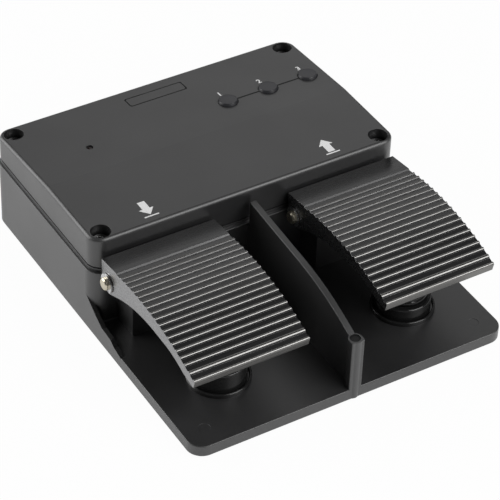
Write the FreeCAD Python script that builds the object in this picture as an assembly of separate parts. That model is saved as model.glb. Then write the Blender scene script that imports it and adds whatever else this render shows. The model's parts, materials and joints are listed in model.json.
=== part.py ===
import FreeCAD, Part
import math
import os

os.makedirs("parts", exist_ok=True)

# Foot pedal remote, in millimetres. Everything is drawn with x = 0 in the middle, y = 0 at the
# cover's rear edge, y falling towards the user, and z = 0 at the underside of the base.
# save() moves each piece to the frame whose origin is on the floor under the middle of the part.

V = FreeCAD.Vector
ALONG_X = V(1, 0, 0)
ALONG_Y = V(0, 1, 0)
ALONG_Z = V(0, 0, 1)

# Cover
cover_side_step = 1.4
cover_front_y = -128.9
cover_corner = 9.0
cover_bottom_z = 47.7
cover_rear_z = 63.1
cover_top_z = 68.5
crease_y = -69.2
cover_wall = 3.0
cover_edge_round = 2.3

# Base
base_half_width = 106.6
base_front_y = -251.5
base_rear_y = 1.2
base_front_corner = 10.0
base_rear_corner = 12.0
wall_front_step = 2.0
wall_corner = 10.4
wall_foot_round = 1.2
plate_top_z = 7.3
plate_edge_round = 0.6
floor_z = 4.0
ledge_z = 44.5
ledge_round = 0.4
rim_z = 46.7
witness_r = 3.5
witness_depth = 0.15
gusset_thickness = 3.0
gusset_crest = ((32.8, 0.0), (24.9, 2.0), (20.1, 4.7), (10.1, 5.4), (2.4, 9.4), (-10.4, 18.2))

# Cover screws and their inserts
cover_screw_side_inset = 9.0
cover_screw_rear_inset = 8.5
cover_screw_front_inset = 8.0
counterbore_r = 6.2
cover_seat_rear_z = 52.0
cover_seat_front_z = 56.6
cover_boss_r = 8.4
cover_shank_r = 3.0
cover_shank_hole_r = 3.3
cover_shank_length = 20.0
cover_head_r = 5.0
cover_head_height = 6.0
cover_head_chamfer = 0.4
hex_across = 5.0
hex_depth = 3.0
base_boss_r = 7.0
insert_r = 4.0
insert_length = 12.0
boss_bore_bottom_z = 30.0

# Seam gasket
gasket_outer_inset = 0.9
gasket_inner_inset = 2.8
gasket_pad_r = 6.5

# Preset buttons, on the rear slope
button_side_inset = 12.7
button_pitch = 29.1
button_y = -45.2
cap_r = 6.2
cap_skirt_top = 1.0
cap_bevel_r = 5.1
cap_bevel_top = 1.6
cap_top = 2.1
well_r = 6.5
cap_flange_r = 7.4
cap_flange_thickness = 1.0
button_stem_r = 1.7
button_stem_clearance = 0.05
button_travel = 1.0
groove_width = 0.6
groove_depth = 0.4

# Status light
lens_side_inset = 42.0
lens_hole_r = 2.3
lens_r = 2.2
lens_flange_r = 3.2
lens_bottom = -5.5
lens_recess = 0.5
lens_dome = 0.8
lens_flange_thickness = 1.0
led_half = 1.6
led_height = 2.0

# Bare label pocket
pocket_half_width = 20.4
pocket_rear_y = -9.1
pocket_front_y = -18.9
pocket_corner = 1.5
pocket_depth = 0.5

# Circuit board under the slope: heights are measured down from the slope
board_left_margin = 8.8
board_right_margin = 7.0
board_half_depth = 18.0
board_thickness = 1.6
board_screw_from_lens = 13.2
board_screw_y = 13.0
board_boss_r = 3.0
board_screw_r = 1.25
board_head_r = 2.3
board_head_height = 1.6
board_screw_top = -5.0
board_hole_top = -4.5
switch_half = 3.0
switch_height = 3.5
switch_gap = 0.5
stem_in_switch = 0.5
switch_well_spare = 0.3
header_half_x = 4.0
header_half_y = 3.0
header_height = 6.0
header_y = -9.8
socket_header_y = 10.2

# Packages under the board: place along and across, half length, half depth and height
board_packages = ((-20.0, 2.0, 5.0, 5.0, 1.2), (0.0, -8.0, 3.0, 2.0, 1.2),
                  (34.0, 0.0, 2.5, 2.5, 1.8), (46.0, 6.0, 4.0, 2.0, 2.4))

# Pedals: the section is drawn level, from the middle of the pin, and swept across the width
pedal_side_inset = 43.0
pedal_half_width = 37.7
pin_from_wall = 8.3
pedal_pin_z = 44.9
pedal_arc_centre = (-40.86, -153.2)
pedal_arc_r = 170.9
pedal_rear_corner = (8.2, 12.3)
band_front_s = -31.85
first_crest_s = -25.9
crest_pitch = 5.0
crest_count = 16
crest_half_width = 1.1
crest_height = 1.0
wide_crest_s = 54.7
wide_crest_half_width = 1.6
lip_s = 60.3
lip_half_width = 1.1
tip = (-99.6, 1.3)
tip_under = (-87.8, 3.0)
front_hollow = (-78.8, 5.7)
pad_front = -69.3
pad_rear = -56.8
pad_height = 7.1
rear_hollow = (-32.8, 4.6)
web = (-14.8, -1.3)
web_lean_deg = 24.5
pedal_boss_r = 7.5
slot_clearance = 0.4
slot_r = 9.0
slot_front = 16.0
slot_beyond = 3.0
slot_above_pin = 1.0
left_rest_deg = 1.8
full_press_deg = 9.0

# Hinge blocks, pins, bushes and clips
block_half_width = 27.3
block_front_reach = 10.7
block_shoulder_drop = 8.9
block_top_drop = 1.0
knuckle_r = 8.0
pin_r = 5.0
pin_overhang = 3.5
pin_chamfer = 0.5
bush_r = 6.0
bush_clearance = 0.03
clip_r = 8.0
clip_inner_r = 5.4
clip_groove_r = 4.0
clip_thickness = 1.0
clip_gap = 0.35
clip_groove_play = 0.05
clip_prong_half = 1.3
clip_mouth_half = 3.1

# Divider between the pedals, and its post
divider_half = 2.1
divider_rear_gap = 2.1
divider_rear_z = 62.25
divider_bend_reach = 59.1
divider_bend_z = 57.6
divider_bulge = 2.4
divider_edge_round = 0.5
post_half = 4.3
post_corner = 0.8
post_top_z = 43.2
post_depth = 8.0
divider_in_post = 2.0
divider_sink = 0.6
post_recess_r = 3.3
post_recess_depth = 2.0
plug_thickness = 1.2

# Boots and the sprung plungers in them
boot_side_shift = 0.4
boot_from_pin = 64.8
ring_r = 19.6
ring_bore_r = 17.9
ring_top_z = 10.0
ring_skirt_r = 18.7
ring_skirt_depth = 1.5
ring_rebate_z = 8.3
cuff_r = 17.0
cuff_bore_r = 13.2
cuff_round = 1.4
right_cuff_z = 17.9
left_cuff_z = 22.5
bellows_crest_r = 14.6
bellows_valley_r = 12.4
bellows_wall = 1.1
right_folds = 6
left_folds = 5
plunger_gap = 0.3
dome_r = 14.0
head_r = 8.0
head_depth = 5.0
collar_r = 13.5
collar_thickness = 1.5
tube_r = 5.5
tube_bottom_z = 25.0
bore_top_below_head = 3.0
guide_r = 3.5
guide_clearance = 0.05
guide_top_z = 36.0
guide_chamfer = 0.5
guide_flange_r = 10.0
guide_flange_thickness = 2.0
spigot_r = 3.0
spigot_bottom_z = 2.0
magnet_height = 3.0
magnet_clearance = 0.4
sensor_board_r = 12.6
sensor_board_thickness = 1.6
chip_ring_r = 11.3
chip_half_depth = 0.8
chip_half_length = 1.4
chip_height = 0.9
spring_mean_r = 8.5
spring_wire_r = 0.6
spring_turns = 6.5
spring_end_gap = 0.1

# Cables from the sensors and from the rear socket
cable_r = 1.0
cable_hole_r = 1.4
cable_bend_r = 5.0
channel_half = 1.5
channel_depth = 2.8
cable_z = 1.5
cable_drop_from_boot = 10.5
cable_gap = 0.1

# Rear socket
socket_z = 24.0
socket_hole_r = 8.0
socket_flange_r = 10.5
socket_flange_depth = 1.5
socket_length = 16.0
socket_bore_r = 6.5
socket_floor = 2.0
insert_core_r = 6.5
insert_core_length = 8.0
contact_r = 0.5
contact_ring_r = 3.4
contact_count = 5
contact_length = 11.0
nut_across = 20.0
nut_thickness = 4.0

# Feet
foot_side_inset = 14.0
foot_rear_inset = 27.2
foot_wall_inset = 22.9
foot_front_inset = 14.1
foot_r = 9.0
foot_height = 3.0
foot_edge_round = 0.8
foot_recess_r = 4.2
foot_recess_depth = 1.6
foot_head_r = 3.6
foot_head_height = 1.4
foot_shank_r = 2.0
foot_shank_top_z = 5.5
foot_boss_r = 5.0

# How far cuts run past a surface, and how far joined shapes reach into each other
past = 1.0
overlap = 2.0

# Places that follow from the sizes above
middle_y = (base_front_y + base_rear_y) / 2
cover_half_width = base_half_width - cover_side_step
wall_front_y = cover_front_y - wall_front_step
cover_screw_x = cover_half_width - cover_screw_side_inset
button_xs = [cover_half_width - button_side_inset - button_pitch * k for k in (2, 1, 0)]
lens_x = lens_side_inset - cover_half_width
board_left = lens_x - board_left_margin
board_right = button_xs[-1] + board_right_margin
board_screw_xs = (lens_x + board_screw_from_lens, button_xs[0] - button_pitch / 2,
                  button_xs[1] + button_pitch / 2)
board_top = -(cover_wall + cap_flange_thickness + button_travel + switch_gap + switch_height)
pedal_x = base_half_width - pedal_side_inset
pedal_pin_y = wall_front_y - pin_from_wall
boot_x = pedal_x + boot_side_shift
boot_y = pedal_pin_y - boot_from_pin
cable_drop_y = boot_y + cable_drop_from_boot
foot_x = base_half_width - foot_side_inset
foot_ys = (base_rear_y - foot_rear_inset, wall_front_y + foot_wall_inset,
           base_front_y + foot_front_inset)
slope_deg = math.degrees(math.atan2(cover_top_z - cover_rear_z, -crease_y))
collar_drop = head_depth + collar_thickness
flange_top_z = plate_top_z + sensor_board_thickness + guide_flange_thickness
SIDES = (("left", -1), ("right", 1))


def save(name, shape):
    """Writes one piece, moved to the part's own frame."""
    moved = shape.copy()
    moved.translate(V(0, -middle_y, foot_height))
    moved.exportStep("parts/" + name + ".step")


def line(p, q):
    return Part.LineSegment(p, q).toShape()


def box(x0, x1, y0, y1, z0, z1):
    return Part.makeBox(x1 - x0, y1 - y0, z1 - z0, V(x0, y0, z0))


def rod(r, z0, z1, x=0.0, y=0.0):
    return Part.makeCylinder(r, z1 - z0, V(x, y, z0))


def rod_x(r, x0, x1, y, z):
    return Part.makeCylinder(r, x1 - x0, V(x0, y, z), ALONG_X)


def rod_y(r, y0, y1, z):
    return Part.makeCylinder(r, y1 - y0, V(0, y0, z), ALONG_Y)


def ring(r_out, r_in, z0, z1, x=0.0, y=0.0):
    return rod(r_out, z0, z1, x, y).cut(rod(r_in, z0 - past, z1 + past, x, y))


def fused(shapes):
    return shapes[0].multiFuse(shapes[1:]).removeSplitter()


def edges_where(shape, test):
    return [edge for edge in shape.Edges if test(edge.BoundBox)]


def quarter(cx, cy, r, start_deg):
    """Quarter arc in the plane z = 0, counter-clockwise from start_deg."""
    turns = [math.radians(start_deg + step) for step in (0, 45, 90)]
    return Part.Arc(*[V(cx + r * math.cos(t), cy + r * math.sin(t), 0) for t in turns])


def slab(half_width, y_front, y_rear, r_front, r_rear, z0, z1):
    """Upright block with four rounded corners."""
    arcs = [
        quarter(half_width - r_rear, y_rear - r_rear, r_rear, 0),
        quarter(-half_width + r_rear, y_rear - r_rear, r_rear, 90),
        quarter(-half_width + r_front, y_front + r_front, r_front, 180),
        quarter(half_width - r_front, y_front + r_front, r_front, 270),
    ]
    edges = []
    for arc, following in zip(arcs, arcs[1:] + arcs[:1]):
        edges.append(arc.toShape())
        edges.append(line(arc.EndPoint, following.StartPoint))
    solid = Part.Face(Part.Wire(edges)).extrude(V(0, 0, z1 - z0))
    solid.translate(V(0, 0, z0))
    return solid


def outline(steps, point):
    """Closed face: each step is a point, or a pair of a point on an arc and the arc's end."""
    edges = []
    here = steps[0]
    for step in steps[1:] + steps[:1]:
        if isinstance(step[0], tuple):
            edges.append(Part.Arc(point(*here), point(*step[0]), point(*step[1])).toShape())
            here = step[1]
        else:
            edges.append(line(point(*here), point(*step)))
            here = step
    return Part.Face(Part.Wire(edges))


def prism(steps, x0, x1):
    """A side outline, given as (y, z), swept across the part from x0 to x1."""
    solid = outline(steps, lambda y, z: V(0, y, z)).extrude(V(x1 - x0, 0, 0))
    solid.translate(V(x0, 0, 0))
    return solid


def turned(steps, x=0.0, y=0.0):
    """A half outline, given as (radius, z), turned round the upright axis at x, y."""
    solid = outline(steps, lambda r, z: V(r, 0, z)).revolve(V(0, 0, 0), ALONG_Z, 360)
    solid.translate(V(x, y, 0))
    return solid


def hexagon(across, z0, z1):
    r = across / math.sqrt(3)
    corners = [V(r * math.cos(math.radians(60 * k)), r * math.sin(math.radians(60 * k)), z0)
               for k in range(7)]
    return Part.Face(Part.makePolygon(corners)).extrude(V(0, 0, z1 - z0))


def dome(r, edge_z, top_z):
    """Step of a turned outline that rises from a rim of radius r to the axis."""
    rise = top_z - edge_z
    ball = (r ** 2 + rise ** 2) / (2 * rise)
    half = r / 2
    return ((half, top_z - ball + math.sqrt(ball ** 2 - half ** 2)), (0, top_z))


def arc_through(p, q, bulge):
    """Point of the arc from p to q that stands bulge above the middle of its chord."""
    length = math.hypot(q[0] - p[0], q[1] - p[1])
    across = ((q[1] - p[1]) / length, (p[0] - q[0]) / length)
    return ((p[0] + q[0]) / 2 + across[0] * bulge, (p[1] + q[1]) / 2 + across[1] * bulge)


def slope_z(y):
    return cover_rear_z - y * math.tan(math.radians(slope_deg))


def on_slope(shape, x=0.0):
    """Moves a piece drawn on z = 0 to the rear slope, in the row of the buttons."""
    placed = shape.copy()
    placed.rotate(V(0, 0, 0), ALONG_X, -slope_deg)
    placed.translate(V(x, button_y, slope_z(button_y)))
    return placed


def cover_screw_spots():
    """Place, seat height and the four positions of the cover screws."""
    return [(side * cover_screw_x, y, seat) for side in (-1, 1)
            for y, seat in ((-cover_screw_rear_inset, cover_seat_rear_z),
                            (cover_front_y + cover_screw_front_inset, cover_seat_front_z))]


def cover_block(inset, drop, z_bottom):
    """The space under the cover's two top planes, inset from its outline and lowered by drop."""
    beyond = 10.0
    corner = cover_corner - inset
    plan = slab(cover_half_width - inset, cover_front_y + inset, -inset, corner, corner,
                z_bottom, cover_top_z + beyond)
    side = prism([(beyond, z_bottom), (beyond, slope_z(beyond) - drop),
                  (crease_y, cover_top_z - drop), (cover_front_y - beyond, cover_top_z - drop),
                  (cover_front_y - beyond, z_bottom)], -cover_half_width, cover_half_width)
    return plan.common(side)


def board_screw_spots():
    return [(x, side * board_screw_y) for x in board_screw_xs for side in (-1, 1)]


def top_cover():
    """Cover with a level front half and a rear half that slopes down to the back."""
    outer = cover_block(0, 0, cover_bottom_z)
    top_edges = edges_where(outer, lambda b: b.ZMin > cover_rear_z - 1
                            and not (b.YLength < 0.01 and abs(b.YMin - crease_y) < 0.01))
    outer = outer.makeFillet(cover_edge_round, top_edges)
    shell = outer.cut(cover_block(cover_wall, cover_wall, cover_bottom_z - past))
    adds = [shell]
    cuts = []
    for x, y, seat in cover_screw_spots():
        adds.append(rod(cover_boss_r, cover_bottom_z, cover_top_z, x, y).common(outer))
        cuts.append(rod(counterbore_r, seat, cover_top_z + past, x, y))
        cuts.append(rod(cover_shank_hole_r, cover_bottom_z - past, seat + past, x, y))
    for x, y in board_screw_spots():
        adds.append(on_slope(rod(board_boss_r, board_top, -cover_wall / 2, x, y)))
        cuts.append(on_slope(rod(board_screw_r, board_top - past, board_hole_top, x, y)))
    for x in button_xs:
        cuts.append(on_slope(rod(well_r, -cover_wall - past, past, x, 0)))
    cuts.append(on_slope(box(button_xs[0], button_xs[-1], -groove_width / 2, groove_width / 2,
                             -groove_depth, past)))
    cuts.append(on_slope(rod(lens_hole_r, -cover_wall - past, past, lens_x, 0)))
    pocket = slab(pocket_half_width, pocket_front_y - button_y, pocket_rear_y - button_y,
                  pocket_corner, pocket_corner, -pocket_depth, past)
    cuts.append(on_slope(pocket))
    return fused(adds).cut(fused(cuts))


def cover_gasket():
    """Flat seal in the seam, with a pad round each cover screw."""
    def plate(inset):
        corner = cover_corner - inset
        return slab(cover_half_width - inset, cover_front_y + inset, -inset, corner, corner,
                    rim_z, cover_bottom_z)
    edge = plate(gasket_outer_inset)
    adds = [edge.cut(plate(gasket_inner_inset))]
    cuts = []
    for x, y, seat in cover_screw_spots():
        adds.append(rod(gasket_pad_r, rim_z, cover_bottom_z, x, y).common(edge))
        cuts.append(rod(cover_shank_hole_r, rim_z - past, cover_bottom_z + past, x, y))
    return fused(adds).cut(fused(cuts))


def cover_screws():
    """Socket head screws, sunk in the cover's counterbores."""
    screws = []
    for x, y, seat in cover_screw_spots():
        head = rod(cover_head_r, 0, cover_head_height)
        rim = edges_where(head, lambda b: b.ZMin > cover_head_height - 0.1)
        head = head.makeChamfer(cover_head_chamfer, rim)
        socket = hexagon(hex_across, cover_head_height - hex_depth, cover_head_height + past)
        head = head.cut(socket)
        screw = fused([head, rod(cover_shank_r, -cover_shank_length, 0)])
        screw.translate(V(x, y, seat))
        screws.append(screw)
    return Part.makeCompound(screws)


def cover_inserts():
    """Threaded brass inserts in the base for the cover screws."""
    rings = [ring(insert_r, cover_shank_r, rim_z - insert_length, rim_z, x, y)
             for x, y, seat in cover_screw_spots()]
    return Part.makeCompound(rings)


def hinge_block(side):
    """Block that holds a pedal's pin, with a round knuckle."""
    pin = (pedal_pin_y, pedal_pin_z)
    steps = [
        (wall_front_y + overlap, plate_top_z - overlap),
        (pin[0] - block_front_reach, plate_top_z - overlap),
        (pin[0] - block_front_reach, pin[1] - block_shoulder_drop),
        (pin[0] - knuckle_r, pin[1]),
        ((pin[0], pin[1] + knuckle_r), (pin[0] + knuckle_r, pin[1])),
        (wall_front_y, ledge_z - block_top_drop),
        (wall_front_y + overlap, ledge_z - block_top_drop),
    ]
    x = side * pedal_x
    return prism(steps, x - block_half_width, x + block_half_width)


def divider():
    """Wall between the pedals: straight at the rear, then curving down to the post."""
    end = (base_front_y + post_depth - divider_in_post, post_top_z - divider_sink)
    bend = (wall_front_y - divider_bend_reach, divider_bend_z)
    rear_y = wall_front_y - divider_rear_gap
    steps = [
        (wall_front_y + overlap, plate_top_z - overlap),
        (end[0], plate_top_z - overlap),
        end,
        (arc_through(end, bend, -divider_bulge), bend),
        (rear_y, divider_rear_z),
        (rear_y, ledge_z - overlap),
        (wall_front_y + overlap, ledge_z - overlap),
    ]
    wall = prism(steps, -divider_half, divider_half)
    crest = edges_where(wall, lambda b: b.XLength < 0.01 and b.ZMin > post_top_z - 1
                        and b.YLength > post_depth)
    return wall.makeFillet(divider_edge_round, crest)


def divider_post():
    """Post at the front of the divider, round at the back."""
    y_round = base_front_y + post_depth - post_half
    front = slab(post_half, base_front_y, y_round + post_corner, post_corner, post_corner,
                 0, post_top_z).common(box(-post_half, post_half, base_front_y, y_round,
                                           0, post_top_z))
    return fused([front, rod(post_half, 0, post_top_z, 0, y_round)])


def gusset(side):
    """Low rib flush with the side, from the plate up to the front wall."""
    steps = [(wall_front_y - ahead, plate_top_z + height) for ahead, height in gusset_crest]
    steps += [(steps[-1][0], 0), (steps[0][0], 0)]
    x = side * base_half_width
    return prism(steps, min(x, x - side * gusset_thickness), max(x, x - side * gusset_thickness))


def base_cuts():
    """Holes, pockets and channels of the base."""
    cuts = []
    for x, y, seat in cover_screw_spots():
        cuts.append(rod(insert_r, rim_z - insert_length, rim_z + past, x, y))
        cuts.append(rod(cover_shank_hole_r, boss_bore_bottom_z, rim_z, x, y))
    for name, side in SIDES:
        x = side * pedal_x
        cuts.append(rod_x(pin_r, x - block_half_width - past, x + block_half_width + past,
                          pedal_pin_y, pedal_pin_z))
        x = side * boot_x
        cuts.append(ring(ring_r, ring_skirt_r, plate_top_z - ring_skirt_depth, plate_top_z + past,
                         x, boot_y))
        cuts.append(rod(spigot_r, spigot_bottom_z, plate_top_z + past, x, boot_y))
        cuts.append(tube_along(sensor_cable_route(side, plate_top_z + past, cover_bottom_z),
                               cable_hole_r))
        cuts.append(box(x - channel_half, x + channel_half, cable_drop_y - channel_half,
                        button_y + header_y + channel_half, -past, channel_depth))
        for y in foot_ys:
            cuts.append(rod(foot_shank_r, -past, foot_shank_top_z, side * foot_x, y))
        cuts.append(rod(witness_r, plate_top_z - witness_depth, plate_top_z + past,
                        side * foot_x, foot_ys[-1]))
    cuts.append(rod(post_recess_r, post_top_z - post_recess_depth, post_top_z + past,
                    0, base_front_y + post_depth / 2))
    cuts.append(rod_y(socket_hole_r, -cover_wall - past, base_rear_y + past, socket_z))
    cuts.append(rod_y(socket_flange_r, base_rear_y - socket_flange_depth, base_rear_y + past,
                      socket_z))
    return cuts


def base_whole():
    """Plate, walls, hinge blocks, divider and gussets, before they are parted."""
    plate = slab(base_half_width, base_front_y, crease_y, base_front_corner, 1.0, 0, plate_top_z)
    plate = plate.makeFillet(plate_edge_round,
                             edges_where(plate, lambda b: b.ZMin > plate_top_z - 0.1))
    tray = slab(base_half_width, wall_front_y, base_rear_y, wall_corner, base_rear_corner,
                0, ledge_z)
    tray = tray.makeFillet(ledge_round, edges_where(tray, lambda b: b.ZMin > ledge_z - 0.1))
    rim = slab(cover_half_width, cover_front_y, 0, cover_corner, cover_corner, 0, rim_z)
    body = fused([plate, tray, rim])
    foot = edges_where(body, lambda b: abs(b.ZMin - plate_top_z) < 0.01 and b.ZLength < 0.01
                       and abs(b.YMin - wall_front_y) < 0.01 and b.XLength > pedal_half_width)
    body = body.makeFillet(wall_foot_round, foot)
    inset = cover_wall
    corner = cover_corner - inset
    cavity = slab(cover_half_width - inset, cover_front_y + inset, -inset, corner, corner,
                  floor_z, rim_z + past)
    adds = [body.cut(cavity), divider(), divider_post()]
    for name, side in SIDES:
        adds.append(hinge_block(side))
        adds.append(gusset(side))
        for y in foot_ys[:2]:
            adds.append(rod(foot_boss_r, 0, plate_top_z, side * foot_x, y))
    for x, y, seat in cover_screw_spots():
        adds.append(rod(base_boss_r, 0, rim_z, x, y))
    return fused(adds).cut(fused(base_cuts()))


def base_regions():
    """The part of space of each casting of the base, all but the walls."""
    far = 2 * base_half_width
    front = base_front_y - past
    pad_z = plate_top_z + wall_foot_round
    plate = [box(-far, far, front, wall_front_y, -past, pad_z),
             box(-far, far, wall_front_y, base_rear_y + past, -past, floor_z)]
    blocks = []
    for name, side in SIDES:
        inner, outer = sorted((side * (base_half_width - gusset_thickness), side * far))
        plate.append(box(inner, outer, front, wall_front_y, 0, cover_top_z))
        for y in foot_ys[:2]:
            plate.append(rod(foot_boss_r, 0, plate_top_z, side * foot_x, y))
        x = side * pedal_x
        blocks.append((name + "_hinge_block",
                       box(x - block_half_width - past, x + block_half_width + past,
                           front, wall_front_y, pad_z, cover_top_z)))
    wall = box(-post_half - past, post_half + past, front, wall_front_y, pad_z, cover_top_z)
    return [("base_plate", fused(plate)), ("pedal_divider", wall)] + blocks


def save_base():
    """The castings of the base, which meet on flat faces."""
    rest = base_whole()
    for name, region in base_regions():
        save(name, rest.common(region))
        rest = rest.cut(region)
    save("base_housing", rest)


def post_plug():
    """Dark plug at the bottom of the post's recess."""
    bottom = post_top_z - post_recess_depth
    return rod(post_recess_r, bottom, bottom + plug_thickness, 0, base_front_y + post_depth / 2)


def from_pin(spot):
    """Side view point given from the middle of the pedals' pins."""
    return (pedal_pin_y + spot[0], pedal_pin_z + spot[1])


def pedal_top(s, drop=0.0):
    """Point of the pedal's curved top, s along the curve towards the tip, drop below it."""
    turn = s / pedal_arc_r
    r = pedal_arc_r - drop
    return from_pin((pedal_arc_centre[0] - r * math.sin(turn),
                     pedal_arc_centre[1] + r * math.cos(turn)))


def pedal_ribs():
    """Steps of the ribbed top, from the smooth band to the lip."""
    crests = [(first_crest_s + crest_pitch * k, crest_half_width) for k in range(crest_count)]
    crests += [(wide_crest_s, wide_crest_half_width), (lip_s, lip_half_width)]
    steps = [pedal_top(band_front_s), pedal_top(band_front_s + crest_height, crest_height)]
    for s, half in crests:
        steps.append(pedal_top(s - half, crest_height))
        steps.append((pedal_top(s), pedal_top(s + half, crest_height)))
    return steps


def pedal_section():
    """Steps of the pedal's side outline, level."""
    lean = math.radians(web_lean_deg)
    boss_front = from_pin((-pedal_boss_r * math.sin(lean), -pedal_boss_r * math.cos(lean)))
    boss_low = from_pin((pedal_boss_r * math.sqrt(0.5), -pedal_boss_r * math.sqrt(0.5)))
    steps = [from_pin(pedal_rear_corner)] + pedal_ribs()
    steps += [from_pin(tip), from_pin(tip_under)]
    steps.append((from_pin(front_hollow), from_pin((pad_front, pad_height))))
    steps.append(from_pin((pad_rear, pad_height)))
    steps.append((from_pin(rear_hollow), from_pin(web)))
    steps.append(boss_front)
    steps.append((boss_low, from_pin((pedal_boss_r, 0))))
    return steps


def pedal(side, tilt):
    """Ribbed pedal with an ear at each end of its hinge block."""
    x = side * pedal_x
    pin_y = pedal_pin_y
    body = prism(pedal_section(), x - pedal_half_width, x + pedal_half_width)
    half = block_half_width + slot_clearance
    slot = fused([
        rod_x(slot_r, x - half, x + half, pin_y, pedal_pin_z),
        box(x - half, x + half, pin_y - slot_front, pin_y + slot_r + slot_beyond,
            pedal_pin_z - slot_r - slot_beyond, pedal_pin_z + slot_above_pin),
    ])
    bore = rod_x(bush_r, x - pedal_half_width - past, x + pedal_half_width + past,
                 pin_y, pedal_pin_z)
    body = body.cut(slot).cut(bore)
    body.rotate(V(0, pin_y, pedal_pin_z), ALONG_X, tilt)
    return body


def bushes(side):
    """Plain bearing bush in each ear of a pedal."""
    pair = []
    for end in (-1, 1):
        inner = side * pedal_x + end * (block_half_width + slot_clearance)
        outer = side * pedal_x + end * pedal_half_width
        x0, x1 = min(inner, outer), max(inner, outer)
        tube = rod_x(bush_r, x0, x1, pedal_pin_y, pedal_pin_z)
        pair.append(tube.cut(rod_x(pin_r + bush_clearance, x0 - past, x1 + past,
                                   pedal_pin_y, pedal_pin_z)))
    return Part.makeCompound(pair)


def clip_spots(side):
    """Inner face of each clip, and the direction out of the pedal."""
    return [(side * pedal_x + end * (pedal_half_width + clip_gap), end) for end in (-1, 1)]


def hinge_pin(side):
    """Plain pin with a groove near each end for its clip."""
    x = side * pedal_x
    reach = pedal_half_width + pin_overhang
    pin = rod_x(pin_r, x - reach, x + reach, pedal_pin_y, pedal_pin_z)
    pin = pin.makeChamfer(pin_chamfer, edges_where(pin, lambda b: b.XLength < 0.01))
    for start, end in clip_spots(side):
        x0, x1 = sorted((start - end * clip_groove_play,
                         start + end * (clip_thickness + clip_groove_play)))
        groove = rod_x(pin_r + past, x0, x1, pedal_pin_y, pedal_pin_z)
        pin = pin.cut(groove.cut(rod_x(clip_groove_r, x0, x1, pedal_pin_y, pedal_pin_z)))
    return pin


def pin_clips(side):
    """Spring clip with three prongs at each end of a pin, its mouth downwards."""
    clips = []
    for start, end in clip_spots(side):
        clip = ring(clip_r, clip_inner_r, 0, clip_thickness)
        for turn in (0, 115, -115):
            prong = box(clip_groove_r - past, (clip_inner_r + clip_r) / 2, -clip_prong_half,
                        clip_prong_half, 0, clip_thickness)
            prong.rotate(V(0, 0, 0), ALONG_Z, turn)
            clip = clip.fuse(prong)
        clip = clip.cut(box(-clip_r - past, -clip_groove_r, -clip_mouth_half, clip_mouth_half,
                            -past, clip_thickness + past))
        clip = clip.cut(rod(clip_groove_r, -past, clip_thickness + past)).removeSplitter()
        clip.rotate(V(0, 0, 0), ALONG_Y, 90)
        clip.rotate(V(0, 0, 0), ALONG_X, 180)
        clip.translate(V(min(start, start + end * clip_thickness), pedal_pin_y, pedal_pin_z))
        clips.append(clip)
    return Part.makeCompound(clips)


def head_z(tilt_deg):
    """Top of the plunger's dome under the pedal's pad, for a pedal pressed by tilt_deg."""
    tilt = math.radians(tilt_deg)
    pad = pad_height - plunger_gap
    lever = pedal_pin_y - boot_y
    centre = (pad - dome_r - lever * math.sin(tilt)) / math.cos(tilt)
    return pedal_pin_z + centre + dome_r


def boot_ring(side):
    """Ring pressed into the plate, which grips the foot of the boot."""
    half = (ring_r - ring_bore_r) / 2
    steps = [
        (ring_skirt_r, plate_top_z - ring_skirt_depth),
        (ring_r, plate_top_z - ring_skirt_depth),
        (ring_r, ring_top_z - half),
        ((ring_r - half, ring_top_z), (ring_bore_r, ring_top_z - half)),
        (ring_bore_r, ring_rebate_z),
        (ring_skirt_r, ring_rebate_z),
    ]
    return turned(steps, side * boot_x, boot_y)


def boot_cuff(side, top_z):
    """Stiff rubber foot of a boot, with a flange under the ring."""
    diagonal = cuff_round * math.sqrt(0.5)
    steps = [
        (cuff_bore_r, plate_top_z),
        (ring_skirt_r, plate_top_z),
        (ring_skirt_r, ring_rebate_z),
        (cuff_r, ring_rebate_z),
        (cuff_r, top_z - cuff_round),
        ((cuff_r - cuff_round + diagonal, top_z - cuff_round + diagonal),
         (cuff_r - cuff_round, top_z)),
        (cuff_bore_r, top_z),
    ]
    return turned(steps, side * boot_x, boot_y)


def ribbed_solid(z0, z1, folds, crest, valley):
    """Ruled loft through four circles for each fold."""
    pitch = (z1 - z0) / folds
    wires = []
    for fold in range(folds):
        for r, share in ((valley, 0.0), (crest, 0.4), (crest, 0.6), (valley, 1.0)):
            z = z0 + pitch * (fold + 0.02 + 0.96 * share)
            wires.append(Part.Wire(Part.makeCircle(r, V(0, 0, z))))
    wires[0] = Part.Wire(Part.makeCircle(valley, V(0, 0, z0)))
    wires[-1] = Part.Wire(Part.makeCircle(valley, V(0, 0, z1)))
    return Part.makeLoft(wires, True, True)


def bellows(side, z0, z1, folds):
    """Folded upper part of a boot, from the cuff to the plunger's collar."""
    outside = ribbed_solid(z0, z1, folds, bellows_crest_r, bellows_valley_r + bellows_wall)
    inside = ribbed_solid(z0, z1, folds, bellows_crest_r - bellows_wall, bellows_valley_r)
    solid = outside.cut(inside)
    solid.translate(V(side * boot_x, boot_y, 0))
    return solid


def plunger(side, top_z):
    """Domed plunger whose tube slides on the guide post."""
    edge = top_z - dome_r + math.sqrt(dome_r ** 2 - head_r ** 2)
    bore_r = guide_r + guide_clearance
    steps = [
        (0, top_z - bore_top_below_head),
        (bore_r, top_z - bore_top_below_head),
        (bore_r, tube_bottom_z),
        (tube_r, tube_bottom_z),
        (tube_r, top_z - collar_drop),
        (collar_r, top_z - collar_drop),
        (collar_r, top_z - head_depth),
        (head_r, top_z - head_depth),
        (head_r, edge),
        dome(head_r, edge, top_z),
    ]
    return turned(steps, side * boot_x, boot_y)


def sensor_magnet(side):
    """Ring magnet on the lower end of the plunger's tube."""
    return ring(tube_r, guide_r + magnet_clearance, tube_bottom_z - magnet_height, tube_bottom_z,
                side * boot_x, boot_y)


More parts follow.
